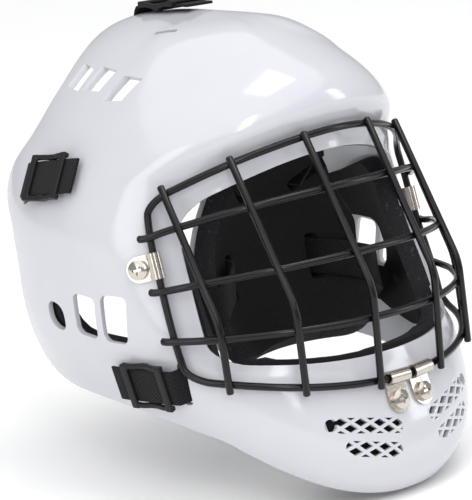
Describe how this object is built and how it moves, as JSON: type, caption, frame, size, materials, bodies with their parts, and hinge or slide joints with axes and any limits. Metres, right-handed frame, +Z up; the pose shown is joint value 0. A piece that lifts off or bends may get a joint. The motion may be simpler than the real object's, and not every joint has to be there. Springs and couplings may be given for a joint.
{
  "type": "goalie mask",
  "caption": "Goalie mask: moulded bowl with a face opening, a wire cage on clips, foam lining, elastic straps with buckles and a loose cupped back plate.",
  "frame": {"origin": "middle of the head space, on the mask's plane of symmetry", "axes": "the wearer faces -Y, +X is the wearer's left, +Z is up"},
  "size_m": [0.23, 0.2274, 0.2537],
  "materials": {
    "bowl": "glossy white moulded plastic",
    "plate": "glossy white moulded plastic",
    "wire": "black powder coat",
    "clip": "nickel plate",
    "fastener": "nickel plate",
    "foam": "matt closed-cell foam",
    "webbing": "ribbed elastic webbing",
    "buckle": "matt black plastic"
  },
  "bodies": {
    "mask": {"shell": "bowl", "cage_rim": "wire", "cage_bar_right_outer": "wire", "cage_bar_right_middle": "wire", "cage_bar_right_inner": "wire", "cage_bar_left_inner": "wire", "cage_bar_left_middle": "wire", "cage_bar_left_outer": "wire", "cage_cross_wire_upper": "wire", "cage_cross_wire_middle": "wire", "cage_cross_wire_lower": "wire", "side_clip_right": "clip", "side_clip_left": "clip", "chin_clip_right": "clip", "chin_clip_left": "clip", "clip_screws": "fastener", "clip_nuts": "fastener", "forehead_pad": "foam", "crown_pad": "foam", "side_pad_right": "foam", "side_pad_left": "foam", "chin_pad": "foam", "top_strap": "webbing", "upper_strap_right": "webbing", "upper_strap_left": "webbing", "lower_strap_right": "webbing", "lower_strap_left": "webbing"},
    "back_plate": {"back_plate": "plate", "back_pad": "foam"},
    "top_buckle": {"top_buckle": "buckle"},
    "upper_buckle_right": {"upper_buckle_right": "buckle"},
    "upper_buckle_left": {"upper_buckle_left": "buckle"},
    "lower_buckle_right": {"lower_buckle_right": "buckle"},
    "lower_buckle_left": {"lower_buckle_left": "buckle"}
  },
  "joints": [
    {"name": "plate_slide", "type": "slide", "parent": "mask", "child": "back_plate", "axis": [0, 1, 0], "range_m": [0, 0.1], "stiffness_N_per_m": 60, "deforming": ["top_strap", "upper_strap_right", "upper_strap_left", "lower_strap_right", "lower_strap_left"]},
    {"name": "top_buckle_slide", "type": "slide", "parent": "mask", "child": "top_buckle", "axis": [0, 0.9983, -0.0581], "range_m": [-0.003, 0.003]},
    {"name": "upper_buckle_right_slide", "type": "slide", "parent": "mask", "child": "upper_buckle_right", "axis": [-0.0135, 0.9876, -0.1564], "range_m": [-0.003, 0.003]},
    {"name": "upper_buckle_left_slide", "type": "slide", "parent": "mask", "child": "upper_buckle_left", "axis": [0.0135, 0.9876, -0.1564], "range_m": [-0.003, 0.003]},
    {"name": "lower_buckle_right_slide", "type": "slide", "parent": "mask", "child": "lower_buckle_right", "axis": [0.0991, -0.9927, 0.0694], "range_m": [-0.003, 0.003]},
    {"name": "lower_buckle_left_slide", "type": "slide", "parent": "mask", "child": "lower_buckle_left", "axis": [-0.0991, -0.9927, 0.0694], "range_m": [-0.003, 0.003]}
  ]
}
